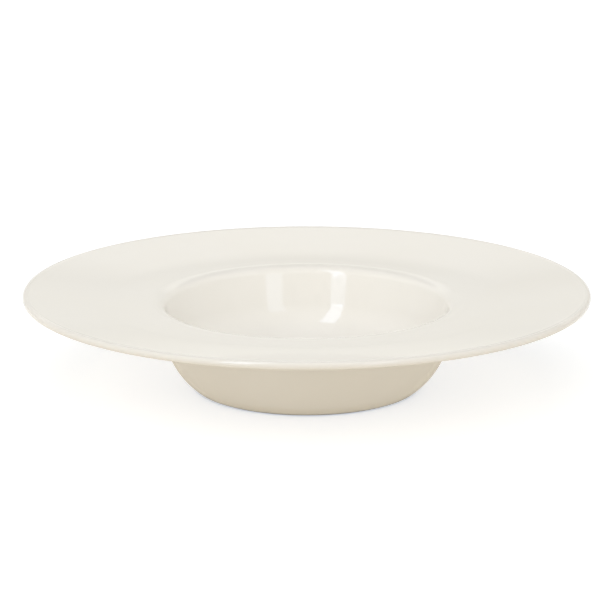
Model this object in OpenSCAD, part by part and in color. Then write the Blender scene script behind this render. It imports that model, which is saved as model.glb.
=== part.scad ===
// Wide-rimmed pasta bowl: a turned porcelain body under a fired glaze.
// Millimetres, +Z up, origin on the axis at the standing face of the foot ring.
// Outline points are [radius, height]. A slope is a surface's angle above the
// horizontal, read going outward from the axis. The sizes are those of the
// finished bowl, over the glaze, except where a comment says otherwise.

/* [Rim] */
// Diameter across the lip
rim_d = 300; // [260:1:340]
// Height of the lip above the table
height = 53.6; // [46:0.2:64]
// Slope of the level ring beside the shoulder, in degrees
rim_slope_in = 1; // [0:0.1:3]
// Slope of the rim where it rises to the lip, in degrees
rim_slope_out = 7.1; // [5.5:0.1:10]
// Width of the level ring beside the shoulder
ledge_w = 8; // [5:0.5:12]
// Radius of the soft dish between the level ring and the rise to the lip
dish_r = 180; // [140:5:220]
// Thickness of the rim
rim_t = 4.6; // [3.6:0.1:6]

/* [Lip] */
// Radius of the rounded lip
lip_r = 2; // [1.6:0.1:2.8]
// Radius of the soft crease inside the lip
crease_r = 5; // [2:0.5:12]
// Slope at which the crease turns over into the lip, in degrees
lip_slope = 20; // [12:1:35]

/* [Well] */
// Diameter of the well at the top of its straight wall
well_d = 149; // [136:1:168]
// Slope of the straight wall, in degrees
wall_slope = 76; // [70:1:82]
// Thickness of the straight wall
wall_t = 4.8; // [3.8:0.1:6.4]
// Radius of the shoulder, where the rim turns down into the well
shoulder_r = 8; // [6:0.5:11]
// Radius under the rim, where it meets the outer wall
under_r = 6; // [3:0.5:9]
// Radius of the corner between the well's wall and its floor
corner_r = 24; // [14:1:34]
// Thickness of the floor
floor_t = 5.8; // [4.4:0.1:8]

/* [Foot] */
// Diameter of the standing face, across its outer edge
foot_d = 115; // [104:1:124]
// Width of the standing face
foot_w = 4.5; // [3:0.1:7]
// Depth of the hollow inside the foot ring
foot_h = 3.2; // [2.6:0.1:5]
// Radius of the outer wall's belly, from the foot up to the straight wall
belly_r = 41; // [30:1:54]
// Radius of the outer edge of the foot, on the bare body
foot_edge_r = 2.5; // [1:0.1:3.5]
// Radius of the inner edge of the foot, on the bare body
foot_inner_r = 1.5; // [0.8:0.1:1.8]
// Radius where the foot's inner wall meets the base
hollow_r = 2; // [1:0.1:3]
// Slope of the foot's inner wall, in degrees
foot_draft = 60; // [45:1:70]

/* [Glaze] */
// Thickness of the glaze
glaze_t = 0.3; // [0.2:0.05:0.5]
// Height of bare body left below the glaze on the foot
glaze_line = 1; // [0.8:0.1:1.6]

/* [Quality] */
// How far a chord may stray from its arc
chord_tol = 0.01; // [0.005:0.005:0.04]

/* [Hidden] */
$fn = 180;

// Unit vector along a surface of the given slope, and the one square to it
function along(slope) = [cos(slope), sin(slope)];
function square_to(slope) = [sin(slope), -cos(slope)];

// Point r away from centre c on the arc whose surface there has the given slope.
// A hollow arc has its centre above it; a crown has a negative r and its centre below.
function arc_point(c, r, slope) = c + r * square_to(slope);
function arc(c, r, grow, from, to) =
    let (steps = ceil(abs(to - from) / (2 * acos(1 - chord_tol / abs(r)))))
    [for (i = [0:steps]) arc_point(c, r + grow, from + (to - from) * i / steps)];

// Where the line through p at one slope crosses the line through q at another
function crossing(p, slope_p, q, slope_q) =
    p + along(slope_p) * ((q - p) * square_to(slope_q)) / (along(slope_p) * square_to(slope_q));

// Outline without the points that repeat the one before them
function tidy(points) =
    [for (i = [0:len(points) - 1]) if (i == 0 || norm(points[i] - points[i - 1]) > chord_tol / 10) points[i]];
function reversed(points) = [for (i = [len(points) - 1:-1:0]) points[i]];

// Lip, worked inward from the diameter and the height
lip_c = [rim_d / 2 - lip_r, height - lip_r];
crease_c = arc_point(lip_c, -lip_r - crease_r, lip_slope);
rim_end = arc_point(crease_c, crease_r, rim_slope_out);

// Rim: a level ring outside the shoulder, a soft dish, and a straight rise to the lip
wall_top_r = well_d / 2;
rim_start_r = wall_top_r + shoulder_r * (sin(wall_slope) - sin(rim_slope_in));
dish_end_r = rim_start_r + ledge_w + dish_r * (sin(rim_slope_out) - sin(rim_slope_in));
dish_end = rim_end - along(rim_slope_out) * (rim_end[0] - dish_end_r) / cos(rim_slope_out);
dish_c = dish_end - dish_r * square_to(rim_slope_out);
dish_start = arc_point(dish_c, dish_r, rim_slope_in);
rim_start = dish_start - along(rim_slope_in) * ledge_w / cos(rim_slope_in);
shoulder_c = rim_start + shoulder_r * square_to(rim_slope_in);

// Well, from the top of its straight wall down to the floor
wall_top = arc_point(shoulder_c, -shoulder_r, wall_slope);
floor_z = foot_h + floor_t;
corner_end_z = floor_z + corner_r * (1 - cos(wall_slope));
corner_end = wall_top - along(wall_slope) * (wall_top[1] - corner_end_z) / sin(wall_slope);
corner_c = corner_end - corner_r * square_to(wall_slope);

// Underside of the rim: level under the ring, then dished, then straight out to the lip
under_dish_r = dish_r + rim_t;
to_lip = lip_c - dish_c;
under_slope = atan2(to_lip[1], to_lip[0]) + asin((under_dish_r - lip_r) / norm(to_lip));
wall_outside = wall_top + wall_t * square_to(wall_slope);
under_c = crossing(wall_outside + under_r * square_to(wall_slope), wall_slope,
                   rim_start + (rim_t + under_r) * square_to(rim_slope_in), rim_slope_in);

// Belly, an arc that touches both the straight outer wall and the foot's edge
foot_c = [foot_d / 2, foot_edge_r];
belly_from = wall_outside - belly_r * square_to(wall_slope) - foot_c;
belly_gap = belly_r - foot_edge_r - glaze_t;
belly_back = belly_from * along(wall_slope);
belly_lift = sqrt(belly_back ^ 2 - belly_from * belly_from + belly_gap ^ 2) - belly_back;
belly_c = foot_c + belly_from + belly_lift * along(wall_slope);
foot_slope = atan2(foot_c[0] - belly_c[0], belly_c[1] - foot_c[1]);
glaze_slope = acos((belly_c[1] - glaze_line) / (belly_r - glaze_t));

// Hollow inside the foot ring
foot_inner_c = [foot_d / 2 - foot_w, foot_inner_r];
inner_low = arc_point(foot_inner_c, foot_inner_r, -foot_draft);
inner_line = inner_low - along(-foot_draft) * (glaze_line - inner_low[1]) / sin(foot_draft);
hollow_c = crossing(inner_line + (glaze_t + hollow_r) * square_to(-foot_draft), -foot_draft,
                    [0, foot_h - hollow_r], 0);

// Outline of the main glaze sunk by the given depth: from the middle of the
// floor up the well, over the rim and the lip, and back under to the foot
function coat(depth) = tidy(concat(
    [[0, floor_z - depth]],
    arc(corner_c, corner_r, depth, 0, wall_slope),
    arc(shoulder_c, -shoulder_r, depth, wall_slope, rim_slope_in),
    arc(dish_c, dish_r, depth, rim_slope_in, rim_slope_out),
    arc(crease_c, crease_r, depth, rim_slope_out, lip_slope),
    arc(lip_c, -lip_r, depth, lip_slope, under_slope - 180),
    arc(dish_c, under_dish_r, -depth, under_slope, rim_slope_in),
    arc(under_c, -under_r, -depth, rim_slope_in, wall_slope),
    arc(belly_c, belly_r, -depth, wall_slope, glaze_slope)));

// Outline of the base glaze sunk by the given depth, from the axis to the foot
function base(depth) = tidy(concat(
    [[0, foot_h + depth]],
    arc(hollow_c, -hollow_r, -depth, 0, -foot_draft),
    [inner_line + (glaze_t - depth) * square_to(-foot_draft)]));

// Outline of the bare foot, from the edge of the main glaze to that of the base glaze
bare_foot = concat(
    arc(belly_c, belly_r, -glaze_t, glaze_slope, foot_slope),
    arc(foot_c, foot_edge_r, 0, foot_slope, 0),
    arc(foot_inner_c, foot_inner_r, 0, 0, -foot_draft));

// The fired body: floor, wall, rim and foot ring in one piece, bare on the foot
module porcelain_body() {
    color("#d9d2c3")
        rotate_extrude()
            polygon(tidy(concat(coat(glaze_t), bare_foot, reversed(base(glaze_t)))));
}

// The glaze over the well, the rim, the lip and the outside, down to the foot
module glaze_coat() {
    color("#ece8da")
        rotate_extrude()
            polygon(concat(coat(0), reversed(coat(glaze_t))));
}

// The separate patch of glaze on the base, inside the foot ring
module base_glaze() {
    color("#e6e1d2")
        rotate_extrude()
            polygon(concat(base(0), reversed(base(glaze_t))));
}

porcelain_body();
glaze_coat();
base_glaze();
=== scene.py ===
import math

import bpy
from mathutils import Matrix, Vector


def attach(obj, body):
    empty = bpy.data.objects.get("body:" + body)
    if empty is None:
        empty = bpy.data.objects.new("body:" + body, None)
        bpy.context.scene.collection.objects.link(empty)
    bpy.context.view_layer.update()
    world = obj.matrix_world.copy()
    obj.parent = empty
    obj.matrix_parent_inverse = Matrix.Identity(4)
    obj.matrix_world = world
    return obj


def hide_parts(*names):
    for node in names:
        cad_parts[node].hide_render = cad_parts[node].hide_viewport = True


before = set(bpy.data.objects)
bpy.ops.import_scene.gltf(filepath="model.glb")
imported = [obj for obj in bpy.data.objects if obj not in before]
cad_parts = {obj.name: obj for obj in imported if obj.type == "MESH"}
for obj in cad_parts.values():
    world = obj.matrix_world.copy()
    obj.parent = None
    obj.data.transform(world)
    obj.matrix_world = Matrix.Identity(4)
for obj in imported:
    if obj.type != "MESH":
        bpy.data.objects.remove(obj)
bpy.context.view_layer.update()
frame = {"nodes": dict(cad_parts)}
print("frame loaded:", ", ".join(frame["nodes"]))

mm = 0.001
seatOf = "root"  # one fired piece, so everything rides on one body


# an sRGB hex colour as linear light
def hexLinear(code):
    channels = [int(code[i:i + 2], 16) / 255 for i in (1, 3, 5)]
    linear = [c / 12.92 if c <= 0.04045 else ((c + 0.055) / 1.055) ** 2.4 for c in channels]
    return (*linear, 1)


def addNode(tree, kind, settings=None, links=None):
    node = tree.nodes.new(kind)
    for name, value in (settings or {}).items():
        if isinstance(name, int) or name in node.inputs:
            node.inputs[name].default_value = value
        else:
            setattr(node, name, value)
    for name, source in (links or {}).items():
        tree.links.new(source, node.inputs[name])
    return node


# sizes in mm and slopes in degrees, as the solids have them but for the shoulder's ease and turn
bowl = {
    "rimDiameter": 300, "height": 53.6, "rimSlopeIn": 1, "rimSlopeOut": 7.1, "rimThick": 4.6,
    "ledgeWidth": 8, "dishRadius": 180, "lipRadius": 2, "creaseRadius": 5, "lipSlope": 20,
    "wellDiameter": 149, "wallSlope": 76, "wallThick": 4.8, "shoulderRadius": 8,
    "easeRadius": 14, "easeSlope": 22, "turnRadius": 5.3,
    "underRadius": 6, "cornerRadius": 24, "floorThick": 5.8,
    "footDiameter": 115, "footWidth": 4.5, "footHollow": 3.2, "bellyRadius": 41,
    "footEdge": 2.5, "footInner": 1.5, "hollowRadius": 2, "footDraft": 60,
    "glaze": 0.3, "glazeLine": 1,
}
lathe = {"turns": 288, "chordTolerance": 0.004, "closest": 0.0004, "weld": 0.0005, "beadSteps": 6}


def along(slope):
    return Vector((math.cos(math.radians(slope)), math.sin(math.radians(slope))))


def squareTo(slope):
    return Vector((math.sin(math.radians(slope)), -math.cos(math.radians(slope))))


def crossing(p, slopeP, q, slopeQ):
    return p + along(slopeP) * ((q - p).dot(squareTo(slopeQ)) / along(slopeP).dot(squareTo(slopeQ)))


# where the line through p comes to a distance from q, on its upper side
def reach(p, slope, q, distance):
    gap = p - q
    back = gap.dot(along(slope))
    return p + along(slope) * (math.sqrt(back ** 2 - gap.length_squared + distance ** 2) - back)


# points of an arc from one surface slope to another; a crown has a negative radius
def arc(centre, radius, grow, start, end):
    turn = 2 * math.degrees(math.acos(1 - lathe["chordTolerance"] / abs(radius)))
    steps = math.ceil(abs(end - start) / turn)
    slopes = [start + (end - start) * i / steps for i in range(steps + 1)]
    return [centre + (radius + grow) * squareTo(s) for s in slopes]


def tidy(points):
    return [p for i, p in enumerate(points) if i == 0 or (p - points[i - 1]).length > lathe["closest"]]


# the outline is worked inward from the lip, then down the well and up from the foot
lip = Vector((bowl["rimDiameter"] / 2 - bowl["lipRadius"], bowl["height"] - bowl["lipRadius"]))
crease = lip - (bowl["lipRadius"] + bowl["creaseRadius"]) * squareTo(bowl["lipSlope"])
rimEnd = crease + bowl["creaseRadius"] * squareTo(bowl["rimSlopeOut"])
sines = {k: math.sin(math.radians(bowl[k])) for k in ("rimSlopeIn", "rimSlopeOut", "wallSlope")}
rimStartR = bowl["wellDiameter"] / 2 + bowl["shoulderRadius"] * (sines["wallSlope"] - sines["rimSlopeIn"])
dishEndR = (rimStartR + bowl["ledgeWidth"]
            + bowl["dishRadius"] * (sines["rimSlopeOut"] - sines["rimSlopeIn"]))
dishEnd = rimEnd - along(bowl["rimSlopeOut"]) * (
    (rimEnd.x - dishEndR) / math.cos(math.radians(bowl["rimSlopeOut"])))
dish = dishEnd - bowl["dishRadius"] * squareTo(bowl["rimSlopeOut"])
ledge = along(bowl["rimSlopeIn"]) * (bowl["ledgeWidth"] / math.cos(math.radians(bowl["rimSlopeIn"])))
rimStart = dish + bowl["dishRadius"] * squareTo(bowl["rimSlopeIn"]) - ledge
shoulder = rimStart + bowl["shoulderRadius"] * squareTo(bowl["rimSlopeIn"])
wallTop = shoulder - bowl["shoulderRadius"] * squareTo(bowl["wallSlope"])
# the shoulder eases off the rim, then turns tighter into the wall, within 0.4 mm of the solid's one arc
easeIn = (bowl["easeRadius"] * (squareTo(bowl["rimSlopeIn"]) - squareTo(bowl["easeSlope"]))
          + bowl["turnRadius"] * squareTo(bowl["easeSlope"]))
turnLine = wallTop + bowl["turnRadius"] * squareTo(bowl["wallSlope"])
shoulderTurn = crossing(rimStart + easeIn, bowl["rimSlopeIn"], turnLine, bowl["wallSlope"])
shoulderEase = shoulderTurn + (bowl["easeRadius"] - bowl["turnRadius"]) * squareTo(bowl["easeSlope"])
floorZ = bowl["footHollow"] + bowl["floorThick"]
cornerZ = floorZ + bowl["cornerRadius"] * (1 - math.cos(math.radians(bowl["wallSlope"])))
cornerEnd = wallTop - along(bowl["wallSlope"]) * ((wallTop.y - cornerZ) / sines["wallSlope"])
corner = cornerEnd - bowl["cornerRadius"] * squareTo(bowl["wallSlope"])
underDish = bowl["dishRadius"] + bowl["rimThick"]
toLip = lip - dish
underSlope = math.degrees(math.atan2(toLip.y, toLip.x)
                          + math.asin((underDish - bowl["lipRadius"]) / toLip.length))
wallOutside = wallTop + bowl["wallThick"] * squareTo(bowl["wallSlope"])
under = crossing(wallOutside + bowl["underRadius"] * squareTo(bowl["wallSlope"]), bowl["wallSlope"],
                 rimStart + (bowl["rimThick"] + bowl["underRadius"]) * squareTo(bowl["rimSlopeIn"]),
                 bowl["rimSlopeIn"])
foot = Vector((bowl["footDiameter"] / 2, bowl["footEdge"]))
belly = reach(wallOutside - bowl["bellyRadius"] * squareTo(bowl["wallSlope"]), bowl["wallSlope"],
              foot, bowl["bellyRadius"] - bowl["footEdge"] - bowl["glaze"])
footSlope = math.degrees(math.atan2(foot.x - belly.x, belly.y - foot.y))
glazeSlope = math.degrees(math.acos((belly.y - bowl["glazeLine"])
                                    / (bowl["bellyRadius"] - bowl["glaze"])))
footInner = Vector((foot.x - bowl["footWidth"], bowl["footInner"]))
innerLow = footInner + bowl["footInner"] * squareTo(-bowl["footDraft"])
innerRise = (bowl["glazeLine"] - innerLow.y) / math.sin(math.radians(bowl["footDraft"]))
innerLine = innerLow - along(-bowl["footDraft"]) * innerRise
hollow = crossing(innerLine + (bowl["glaze"] + bowl["hollowRadius"]) * squareTo(-bowl["footDraft"]),
                  -bowl["footDraft"], Vector((0, bowl["footHollow"] - bowl["hollowRadius"])), 0)


# outline of the main glaze, sunk by a depth: floor, well, shoulder, rim, lip, underside, belly
def coatOutline(depth):
    return tidy(
        [Vector((0, floorZ - depth))]
        + arc(corner, bowl["cornerRadius"], depth, 0, bowl["wallSlope"])
        + arc(shoulderTurn, -bowl["turnRadius"], depth, bowl["wallSlope"], bowl["easeSlope"])
        + arc(shoulderEase, -bowl["easeRadius"], depth, bowl["easeSlope"], bowl["rimSlopeIn"])
        + arc(dish, bowl["dishRadius"], depth, bowl["rimSlopeIn"], bowl["rimSlopeOut"])
        + arc(crease, bowl["creaseRadius"], depth, bowl["rimSlopeOut"], bowl["lipSlope"])
        + arc(lip, -bowl["lipRadius"], depth, bowl["lipSlope"], underSlope - 180)
        + arc(dish, underDish, -depth, underSlope, bowl["rimSlopeIn"])
        + arc(under, -bowl["underRadius"], -depth, bowl["rimSlopeIn"], bowl["wallSlope"])
        + arc(belly, bowl["bellyRadius"], -depth, bowl["wallSlope"], glazeSlope))


def baseOutline(depth):
    return tidy(
        [Vector((0, bowl["footHollow"] + depth))]
        + arc(hollow, -bowl["hollowRadius"], -depth, 0, -bowl["footDraft"])
        + [innerLine + (bowl["glaze"] - depth) * squareTo(-bowl["footDraft"])])


def bareFootOutline():
    return (arc(belly, bowl["bellyRadius"], -bowl["glaze"], glazeSlope, footSlope)
            + arc(foot, bowl["footEdge"], 0, footSlope, 0)
            + arc(footInner, bowl["footInner"], 0, 0, -bowl["footDraft"]))


# a glaze layer as one closed outline; its free edge by the foot draws up into a round bead
def roundedEdge(outer, inner):
    middle = (outer[-1] + inner[-1]) / 2
    out = outer[-1] - middle
    onward = (outer[-1] - outer[-2]).normalized() * out.length
    turns = [math.pi * i / lathe["beadSteps"] for i in range(1, lathe["beadSteps"])]
    return outer + [middle + out * math.cos(t) + onward * math.sin(t) for t in turns] + inner[::-1]


# a plane merged to one point, drawn along the outline and spun, as on a potter's lathe
def turnPiece(name, outline):
    bpy.ops.object.select_all(action="DESELECT")
    start = outline[0]
    bpy.ops.mesh.primitive_plane_add(size=mm, location=(start.x * mm, 0, start.y * mm))
    piece = bpy.context.object
    piece.name = name
    piece.data.name = name
    bpy.ops.object.mode_set(mode="EDIT")
    bpy.ops.mesh.select_all(action="SELECT")
    bpy.ops.mesh.merge(type="CENTER")
    for here, there in zip(outline, outline[1:]):
        step = ((there.x - here.x) * mm, 0, (there.y - here.y) * mm)
        bpy.ops.mesh.extrude_region_move(TRANSFORM_OT_translate={"value": step})
    bpy.ops.mesh.select_all(action="SELECT")
    bpy.ops.mesh.spin(steps=lathe["turns"], angle=2 * math.pi, center=(0, 0, 0), axis=(0, 0, 1))
    bpy.ops.mesh.select_all(action="SELECT")
    bpy.ops.mesh.remove_doubles(threshold=lathe["weld"] * mm)
    bpy.ops.mesh.normals_make_consistent(inside=False)
    bpy.ops.object.mode_set(mode="OBJECT")
    bpy.ops.object.transform_apply(location=True, rotation=True, scale=True)
    bpy.ops.object.shade_smooth()
    print(name, "turned:", len(piece.data.polygons), "faces")
    return piece


def seatPiece(piece, node, material):
    piece.data.materials.clear()
    piece.data.materials.append(material)
    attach(piece, seatOf)
    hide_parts(node)


# feldspar glaze, dipped and fired to glass: mirror gloss over a slow swell, creamier where it ran
# together, and greyed over the lip, partly thin glaze and partly painted shade; its pinholes are drawn
# twice as wide as real ones, so that they show
ivoryGlaze = {
    "colour": "#F0EEEB", "gathered": "#ECE8E0", "thinLipShade": "#EAE7E3", "pinhole": "#B3A588",
    "cloudSize": 60 * mm, "cloudDetail": 2, "cloudShare": 0.5,
    "gatherFrom": 8.5 * mm, "gatherTo": 1.5 * mm, "thinLipShadeFrom": 146.5 * mm, "thinLipShadeTo": 149 * mm,
    "pinholeSpacing": 5 * mm, "pinholeSize": 0.4 * mm, "pinholeShare": 0.3, "pinholeStrength": 0.35,
    "swellSize": 18 * mm, "swellDepth": 0.02 * mm, "peelSize": 2 * mm, "peelDepth": 0.002 * mm,
    "rippleDetail": 1, "hazeSize": 22 * mm, "hazeDetail": 3, "hazeFrom": 0.35, "hazeTo": 0.65,
    "roughLow": 0.025, "roughHigh": 0.05, "ior": 1.5,
}
# the same glaze inside the foot ring, which no hand ever polishes: duller, with more pinholes
baseGlaze = dict(ivoryGlaze, colour="#EDE9E0", gathered="#E6DFD0",
                 gatherFrom=3.1 * mm, gatherTo=1.2 * mm, pinholeSpacing=3.5 * mm, pinholeStrength=0.6,
                 roughLow=0.06, roughHigh=0.14)


def makeGlaze(name, look):
    material = bpy.data.materials.new(name)
    material.use_nodes = True
    tree = material.node_tree
    tree.nodes.clear()
    place = addNode(tree, "ShaderNodeTexCoord").outputs["Object"]
    height = addNode(tree, "ShaderNodeSeparateXYZ", {}, {"Vector": place}).outputs["Z"]
    across = addNode(tree, "ShaderNodeVectorMath", {"operation": "MULTIPLY", 1: (1, 1, 0)}, {0: place})
    radius = addNode(tree, "ShaderNodeVectorMath", {"operation": "LENGTH"},
                     {0: across.outputs["Vector"]})

    # slow clouds of cream, more of it by the foot; over the lip the glaze draws thin and is greyed,
    # darker than thin glaze would be: painted shade
    clouds = addNode(tree, "ShaderNodeTexNoise",
                     {"Scale": 1 / look["cloudSize"], "Detail": look["cloudDetail"]}, {"Vector": place})
    cloudy = addNode(tree, "ShaderNodeMath", {"operation": "MULTIPLY", 1: look["cloudShare"]},
                     {0: clouds.outputs["Fac"]})
    low = addNode(tree, "ShaderNodeMapRange",
                  {"interpolation_type": "SMOOTHSTEP",
                   "From Min": look["gatherFrom"], "From Max": look["gatherTo"]},
                  {"Value": height})
    gather = addNode(tree, "ShaderNodeMath", {"operation": "MAXIMUM"},
                     {0: low.outputs["Result"], 1: cloudy.outputs[0]})
    cream = addNode(tree, "ShaderNodeMix",
                    {"data_type": "RGBA", 6: hexLinear(look["colour"]), 7: hexLinear(look["gathered"])},
                    {"Factor": gather.outputs[0]})
    # painted shade: the colour turns darker towards the lip's outer edge
    edge = addNode(tree, "ShaderNodeMapRange", {"From Min": look["thinLipShadeFrom"], "From Max": look["thinLipShadeTo"]},
                   {"Value": radius.outputs["Value"]})
    lipShaded = addNode(tree, "ShaderNodeMix", {"data_type": "RGBA", 7: hexLinear(look["thinLipShade"])},
                     {"Factor": edge.outputs["Result"], 6: cream.outputs[2]})

    # pinholes: a faint dot in some of the cells
    cells = addNode(tree, "ShaderNodeTexVoronoi", {"Scale": 1 / look["pinholeSpacing"]},
                    {"Vector": place})
    dotSize = look["pinholeSize"] / 2 / look["pinholeSpacing"]
    dot = addNode(tree, "ShaderNodeMapRange",
                  {"From Min": dotSize, "From Max": dotSize / 2, "To Max": look["pinholeStrength"]},
                  {"Value": cells.outputs["Distance"]})
    chosen = addNode(tree, "ShaderNodeMath", {"operation": "LESS_THAN", 1: look["pinholeShare"]},
                     {0: cells.outputs["Color"]})
    fleck = addNode(tree, "ShaderNodeMath", {"operation": "MULTIPLY"},
                    {0: dot.outputs["Result"], 1: chosen.outputs[0]})
    colour = addNode(tree, "ShaderNodeMix", {"data_type": "RGBA", 7: hexLinear(look["pinhole"])},
                     {"Factor": fleck.outputs[0], 6: lipShaded.outputs[2]})

    # gloss breaks up a little in patches; a swell and a fine orange peel bend the reflections
    haze = addNode(tree, "ShaderNodeTexNoise",
                   {"Scale": 1 / look["hazeSize"], "Detail": look["hazeDetail"]}, {"Vector": place})
    rough = addNode(tree, "ShaderNodeMapRange",
                    {"From Min": look["hazeFrom"], "From Max": look["hazeTo"],
                     "To Min": look["roughLow"], "To Max": look["roughHigh"]},
                    {"Value": haze.outputs["Fac"]})
    swell = addNode(tree, "ShaderNodeTexNoise",
                    {"Scale": 1 / look["swellSize"], "Detail": look["rippleDetail"]}, {"Vector": place})
    peel = addNode(tree, "ShaderNodeTexNoise",
                   {"Scale": 1 / look["peelSize"], "Detail": look["rippleDetail"]}, {"Vector": place})
    wavy = addNode(tree, "ShaderNodeBump", {"Distance": look["swellDepth"]},
                   {"Height": swell.outputs["Fac"]})
    fine = addNode(tree, "ShaderNodeBump", {"Distance": look["peelDepth"]},
                   {"Height": peel.outputs["Fac"], "Normal": wavy.outputs["Normal"]})
    shader = addNode(tree, "ShaderNodeBsdfPrincipled", {"IOR": look["ior"]},
                     {"Base Color": colour.outputs[2], "Roughness": rough.outputs["Result"],
                      "Normal": fine.outputs["Normal"]})
    addNode(tree, "ShaderNodeOutputMaterial", {}, {"Surface": shader.outputs[0]})
    return material


# bare porcelain on the foot ring, ground flat: dry, chalky and gritty, greyed where it rubs on the
# table; its grit is drawn ten times too coarse, so that it shows
biscuitPorcelain = {
    "colour": "#DCD5C7", "pale": "#E6E0D4", "grit": "#B5AA96", "rubbed": "#B0AA9F",
    "mottleSize": 9 * mm, "gritSize": 0.5 * mm, "grainDetail": 3, "gritFrom": 0.55, "gritTo": 0.68,
    "gritDepth": 0.03 * mm, "gritShare": 0.6, "rubFrom": 0.3 * mm, "rubTo": 0.05 * mm,
    "rubSize": 6 * mm, "rubDetail": 4, "patchFrom": 0.42, "patchTo": 0.62,
    "roughness": 0.85, "rubbedRoughness": 0.5,
}


def makeBiscuit(name, look):
    material = bpy.data.materials.new(name)
    material.use_nodes = True
    tree = material.node_tree
    tree.nodes.clear()
    place = addNode(tree, "ShaderNodeTexCoord").outputs["Object"]
    height = addNode(tree, "ShaderNodeSeparateXYZ", {}, {"Vector": place}).outputs["Z"]
    mottle = addNode(tree, "ShaderNodeTexNoise",
                     {"Scale": 1 / look["mottleSize"], "Detail": look["grainDetail"]}, {"Vector": place})
    chalk = addNode(tree, "ShaderNodeMix",
                    {"data_type": "RGBA", 6: hexLinear(look["colour"]), 7: hexLinear(look["pale"])},
                    {"Factor": mottle.outputs["Fac"]})
    grain = addNode(tree, "ShaderNodeTexNoise",
                    {"Scale": 1 / look["gritSize"], "Detail": look["grainDetail"]}, {"Vector": place})
    grit = addNode(tree, "ShaderNodeMapRange",
                   {"From Min": look["gritFrom"], "From Max": look["gritTo"],
                    "To Max": look["gritShare"]},
                   {"Value": grain.outputs["Fac"]})
    sandy = addNode(tree, "ShaderNodeMix", {"data_type": "RGBA", 7: hexLinear(look["grit"])},
                    {"Factor": grit.outputs["Result"], 6: chalk.outputs[2]})

    # rub marks lie in patches on the standing face alone
    standing = addNode(tree, "ShaderNodeMapRange",
                       {"From Min": look["rubFrom"], "From Max": look["rubTo"]},
                       {"Value": height})
    patches = addNode(tree, "ShaderNodeTexNoise",
                      {"Scale": 1 / look["rubSize"], "Detail": look["rubDetail"]}, {"Vector": place})
    patchy = addNode(tree, "ShaderNodeMapRange",
                     {"From Min": look["patchFrom"], "From Max": look["patchTo"]},
                     {"Value": patches.outputs["Fac"]})
    rub = addNode(tree, "ShaderNodeMath", {"operation": "MULTIPLY"},
                  {0: standing.outputs["Result"], 1: patchy.outputs["Result"]})
    colour = addNode(tree, "ShaderNodeMix", {"data_type": "RGBA", 7: hexLinear(look["rubbed"])},
                     {"Factor": rub.outputs[0], 6: sandy.outputs[2]})
    rough = addNode(tree, "ShaderNodeMapRange",
                    {"To Min": look["roughness"], "To Max": look["rubbedRoughness"]},
                    {"Value": rub.outputs[0]})
    bump = addNode(tree, "ShaderNodeBump", {"Distance": look["gritDepth"]},
                   {"Height": grain.outputs["Fac"]})
    shader = addNode(tree, "ShaderNodeBsdfPrincipled", {},
                     {"Base Color": colour.outputs[2], "Roughness": rough.outputs["Result"],
                      "Normal": bump.outputs["Normal"]})
    addNode(tree, "ShaderNodeOutputMaterial", {}, {"Surface": shader.outputs[0]})
    return material


coat = turnPiece("glazeCoat", roundedEdge(coatOutline(0), coatOutline(bowl["glaze"])))
seatPiece(coat, "glaze_coat", makeGlaze("ivoryGlaze", ivoryGlaze))
base = turnPiece("baseGlaze", roundedEdge(baseOutline(0), baseOutline(bowl["glaze"])))
seatPiece(base, "base_glaze", makeGlaze("baseGlaze", baseGlaze))
body = turnPiece("porcelainBody", tidy(coatOutline(bowl["glaze"]) + bareFootOutline()
                                       + baseOutline(bowl["glaze"])[::-1]))
seatPiece(body, "porcelain_body",
          makeBiscuit("biscuitPorcelain", biscuitPorcelain))

# camera: a long lens about 14 degrees above the table, aimed just under the rim
view = {"distance": 1.4, "elevation": 14.33, "aimHeight": 42.12 * mm, "aimSide": 0.66 * mm,
        "focalPixels": 2635.5, "imagePixels": 616, "sensor": 36, "clipEnd": 50}


def addCamera():
    data = bpy.data.cameras.new("camera")
    data.sensor_width = view["sensor"]
    data.lens = view["focalPixels"] / view["imagePixels"] * view["sensor"]
    data.clip_end = view["clipEnd"]
    camera = bpy.data.objects.new("camera", data)
    bpy.context.scene.collection.objects.link(camera)
    tilt = math.radians(view["elevation"])
    camera.location = (view["aimSide"], -view["distance"] * math.cos(tilt),
                       view["aimHeight"] + view["distance"] * math.sin(tilt))
    camera.rotation_euler = (math.pi / 2 - tilt, 0, 0)
    bpy.context.scene.camera = camera


addCamera()

# white sweep: warm paper, lifted to white by a glow that lights nothing and grows with distance;
# in the glaze's reflections the glow fades out under the bowl, so that its shadow shows there too
sweep = {"size": 12, "colour": "#E4DDD1", "liftColour": "#E2EEFF", "liftNear": 0.58, "liftFar": 0.95,
         "shadow": 100 * mm, "open": 300 * mm, "far": 1200 * mm}


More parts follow.
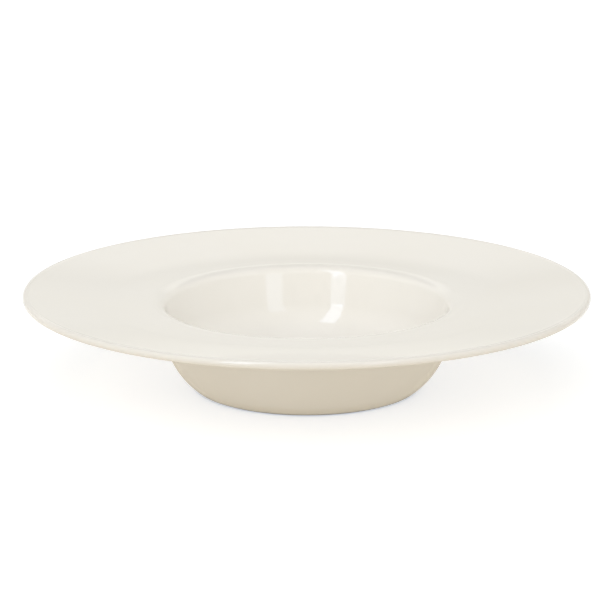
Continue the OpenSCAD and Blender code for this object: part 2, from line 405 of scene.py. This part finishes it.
def addFloor():
    bpy.ops.object.select_all(action="DESELECT")
    bpy.ops.mesh.primitive_plane_add(size=sweep["size"], location=(0, 0, 0))
    floor = bpy.context.object
    floor.name = "floor"
    material = bpy.data.materials.new("whiteSweep")
    material.use_nodes = True
    tree = material.node_tree
    tree.nodes.clear()
    path = addNode(tree, "ShaderNodeLightPath")
    paper = addNode(tree, "ShaderNodeBsdfDiffuse", {"Color": hexLinear(sweep["colour"])})
    mirrored = addNode(tree, "ShaderNodeMath", {"operation": "MAXIMUM"},
                       {0: path.outputs["Is Glossy Ray"], 1: path.outputs["Is Transmission Ray"]})
    place = addNode(tree, "ShaderNodeTexCoord")
    away = addNode(tree, "ShaderNodeVectorMath", {"operation": "LENGTH"}, {0: place.outputs["Object"]})
    clear = addNode(tree, "ShaderNodeMapRange",
                    {"interpolation_type": "SMOOTHSTEP",
                     "From Min": sweep["shadow"], "From Max": sweep["open"]},
                    {"Value": away.outputs["Value"]})
    faded = addNode(tree, "ShaderNodeMath", {"operation": "MULTIPLY"},
                    {0: mirrored.outputs[0], 1: clear.outputs["Result"]})
    seen = addNode(tree, "ShaderNodeMath", {"operation": "MAXIMUM"},
                   {0: path.outputs["Is Camera Ray"], 1: faded.outputs[0]})
    rising = addNode(tree, "ShaderNodeMapRange",
                     {"From Min": sweep["open"], "From Max": sweep["far"],
                      "To Min": sweep["liftNear"], "To Max": sweep["liftFar"]},
                     {"Value": away.outputs["Value"]})
    lift = addNode(tree, "ShaderNodeMath", {"operation": "MULTIPLY"},
                   {0: seen.outputs[0], 1: rising.outputs["Result"]})
    glow = addNode(tree, "ShaderNodeEmission", {"Color": hexLinear(sweep["liftColour"])},
                   {"Strength": lift.outputs[0]})
    both = addNode(tree, "ShaderNodeAddShader", {}, {0: paper.outputs[0], 1: glow.outputs[0]})
    addNode(tree, "ShaderNodeOutputMaterial", {}, {"Surface": both.outputs[0]})
    floor.data.materials.append(material)


addFloor()

# light tent: level of the walls by angle, from the back horizon over the top to the front horizon
studio = {
    "colour": "#FFFCF2",
    "levels": {0: 0.95, 3: 0.9, 6: 0.84, 14: 0.87, 18: 0.76, 22: 0.96, 26: 1.02, 30: 1.16, 35: 0.48,
               42: 0.08, 50: 0.03, 75: 0.03, 95: 0.1, 115: 0.63, 135: 1.1, 150: 1.1, 165: 0.95, 180: 0.3},
    "left": 0.98, "right": 0.96, "sideFrom": 0.35, "sideTo": 0.85,
}


def addWorld():
    world = bpy.data.worlds.new("studio")
    bpy.context.scene.world = world
    world.use_nodes = True
    tree = world.node_tree
    tree.nodes.clear()
    path = addNode(tree, "ShaderNodeLightPath")
    place = addNode(tree, "ShaderNodeTexCoord")
    split = addNode(tree, "ShaderNodeSeparateXYZ", {}, {"Vector": place.outputs["Generated"]})
    angle = addNode(tree, "ShaderNodeMath", {"operation": "ARCTAN2"},
                    {0: split.outputs["Z"], 1: split.outputs["Y"]})
    turn = addNode(tree, "ShaderNodeMath", {"operation": "DIVIDE", 1: math.pi}, {0: angle.outputs[0]})
    levels = addNode(tree, "ShaderNodeValToRGB", {}, {"Fac": turn.outputs[0]})
    stops = levels.color_ramp.elements
    while len(stops) < len(studio["levels"]):
        stops.new(0.5)  # each is moved to its own angle below
    for stop, (degrees, level) in zip(stops, studio["levels"].items()):
        stop.position = degrees / 180
        stop.color = (level, level, level, 1)
    side = addNode(tree, "ShaderNodeMapRange",
                   {"From Min": -1, "From Max": 1, "To Min": studio["left"], "To Max": studio["right"]},
                   {"Value": split.outputs["X"]})
    aside = addNode(tree, "ShaderNodeMath", {"operation": "ABSOLUTE"}, {0: split.outputs["X"]})
    share = addNode(tree, "ShaderNodeMapRange",
                    {"interpolation_type": "SMOOTHSTEP", "From Min": studio["sideFrom"],
                     "From Max": studio["sideTo"]}, {"Value": aside.outputs[0]})
    walls = addNode(tree, "ShaderNodeMix", {},
                    {"Factor": share.outputs[0], "A": levels.outputs["Color"], "B": side.outputs[0]})
    room = addNode(tree, "ShaderNodeBackground", {"Color": hexLinear(studio["colour"])},
                   {"Strength": walls.outputs["Result"]})
    white = addNode(tree, "ShaderNodeBackground", {"Color": (1, 1, 1, 1), "Strength": 1})
    seen = addNode(tree, "ShaderNodeMath", {"operation": "MAXIMUM"},
                   {0: path.outputs["Is Camera Ray"], 1: path.outputs["Is Transmission Ray"]})
    # the glaze mirrors the tent's own walls
    pick = addNode(tree, "ShaderNodeMixShader", {},
                   {0: seen.outputs[0], 1: room.outputs[0], 2: white.outputs[0]})
    addNode(tree, "ShaderNodeOutputWorld", {}, {"Surface": pick.outputs[0]})


addWorld()

# softboxes: turn is degrees left of the camera, rise is degrees above the table; the fills only light
# the bowl, and the strips only show in its glaze
softboxes = {
    "topFill": {"turn": 0, "rise": 85, "roll": 0, "distance": 0.9, "width": 1, "length": 1,
                "radiance": 1.04, "colour": "#FAFBFF", "shows": False},
    "leftFill": {"turn": 75, "rise": 35, "roll": 0, "distance": 1.1, "width": 0.7, "length": 0.5,
                 "radiance": 0.95, "colour": "#F2F7FF", "shows": False},
    "frontFill": {"turn": 0, "rise": 35, "roll": 0, "distance": 1.2, "width": 1.2, "length": 0.6,
                  "radiance": 0.84, "colour": "#F2F7FF", "shows": False},
    "leftStrip": {"turn": 28.9, "rise": 41.2, "roll": 3, "distance": 2.93,
                  "width": 0.56, "length": 2.76, "radiance": 4, "colour": "#D4E4FF", "shows": True},
    "leftFoot": {"turn": 27.6, "rise": 9, "roll": 0, "distance": 2.93, "width": 0.66, "length": 1.1,
                 "radiance": 2, "colour": "#D4E4FF", "shows": True},
    "rightStrip": {"turn": -28.7, "rise": 20.4, "roll": 0, "distance": 2.93,
                   "width": 0.7, "length": 1.5, "radiance": 1.8, "colour": "#D4E4FF", "shows": True},
}


def addSoftbox(name, box):
    data = bpy.data.lights.new(name, "AREA")
    data.shape = "RECTANGLE"
    data.size = box["width"]
    data.size_y = box["length"]
    data.color = hexLinear(box["colour"])[:3]
    data.energy = box["radiance"] * math.pi * box["width"] * box["length"]
    lamp = bpy.data.objects.new(name, data)
    bpy.context.scene.collection.objects.link(lamp)
    turn, rise = math.radians(box["turn"]), math.radians(box["rise"])
    toLamp = Vector((-math.sin(turn) * math.cos(rise), -math.cos(turn) * math.cos(rise),
                     math.sin(rise)))
    lamp.location = toLamp * box["distance"] + Vector((0, 0, view["aimHeight"]))
    lamp.rotation_euler = toLamp.to_track_quat("Z", "Y").to_euler()
    lamp.rotation_euler.rotate_axis("Z", math.radians(box["roll"]))
    lamp.visible_diffuse = not box["shows"]
    lamp.visible_glossy = box["shows"]


for name, settings in softboxes.items():
    addSoftbox(name, settings)

# lit table top: a faint warm glow from below, which the belly and the foot pick up
tableGlow = {"colour": "#FEFBF2", "width": 0.5, "height": 1 * mm, "radiance": 0.204}


def addTableGlow():
    data = bpy.data.lights.new("tableGlow", "AREA")
    data.shape = "DISK"
    data.size = tableGlow["width"]
    data.color = hexLinear(tableGlow["colour"])[:3]
    data.energy = tableGlow["radiance"] * math.pi * math.pi * (tableGlow["width"] / 2) ** 2
    lamp = bpy.data.objects.new("tableGlow", data)
    bpy.context.scene.collection.objects.link(lamp)
    lamp.location = (0, 0, tableGlow["height"])
    lamp.rotation_euler = (math.pi, 0, 0)
    lamp.visible_camera = False


addTableGlow()
print("studio set:", len(softboxes), "softboxes")

bpy.context.scene.view_settings.view_transform = "Standard"
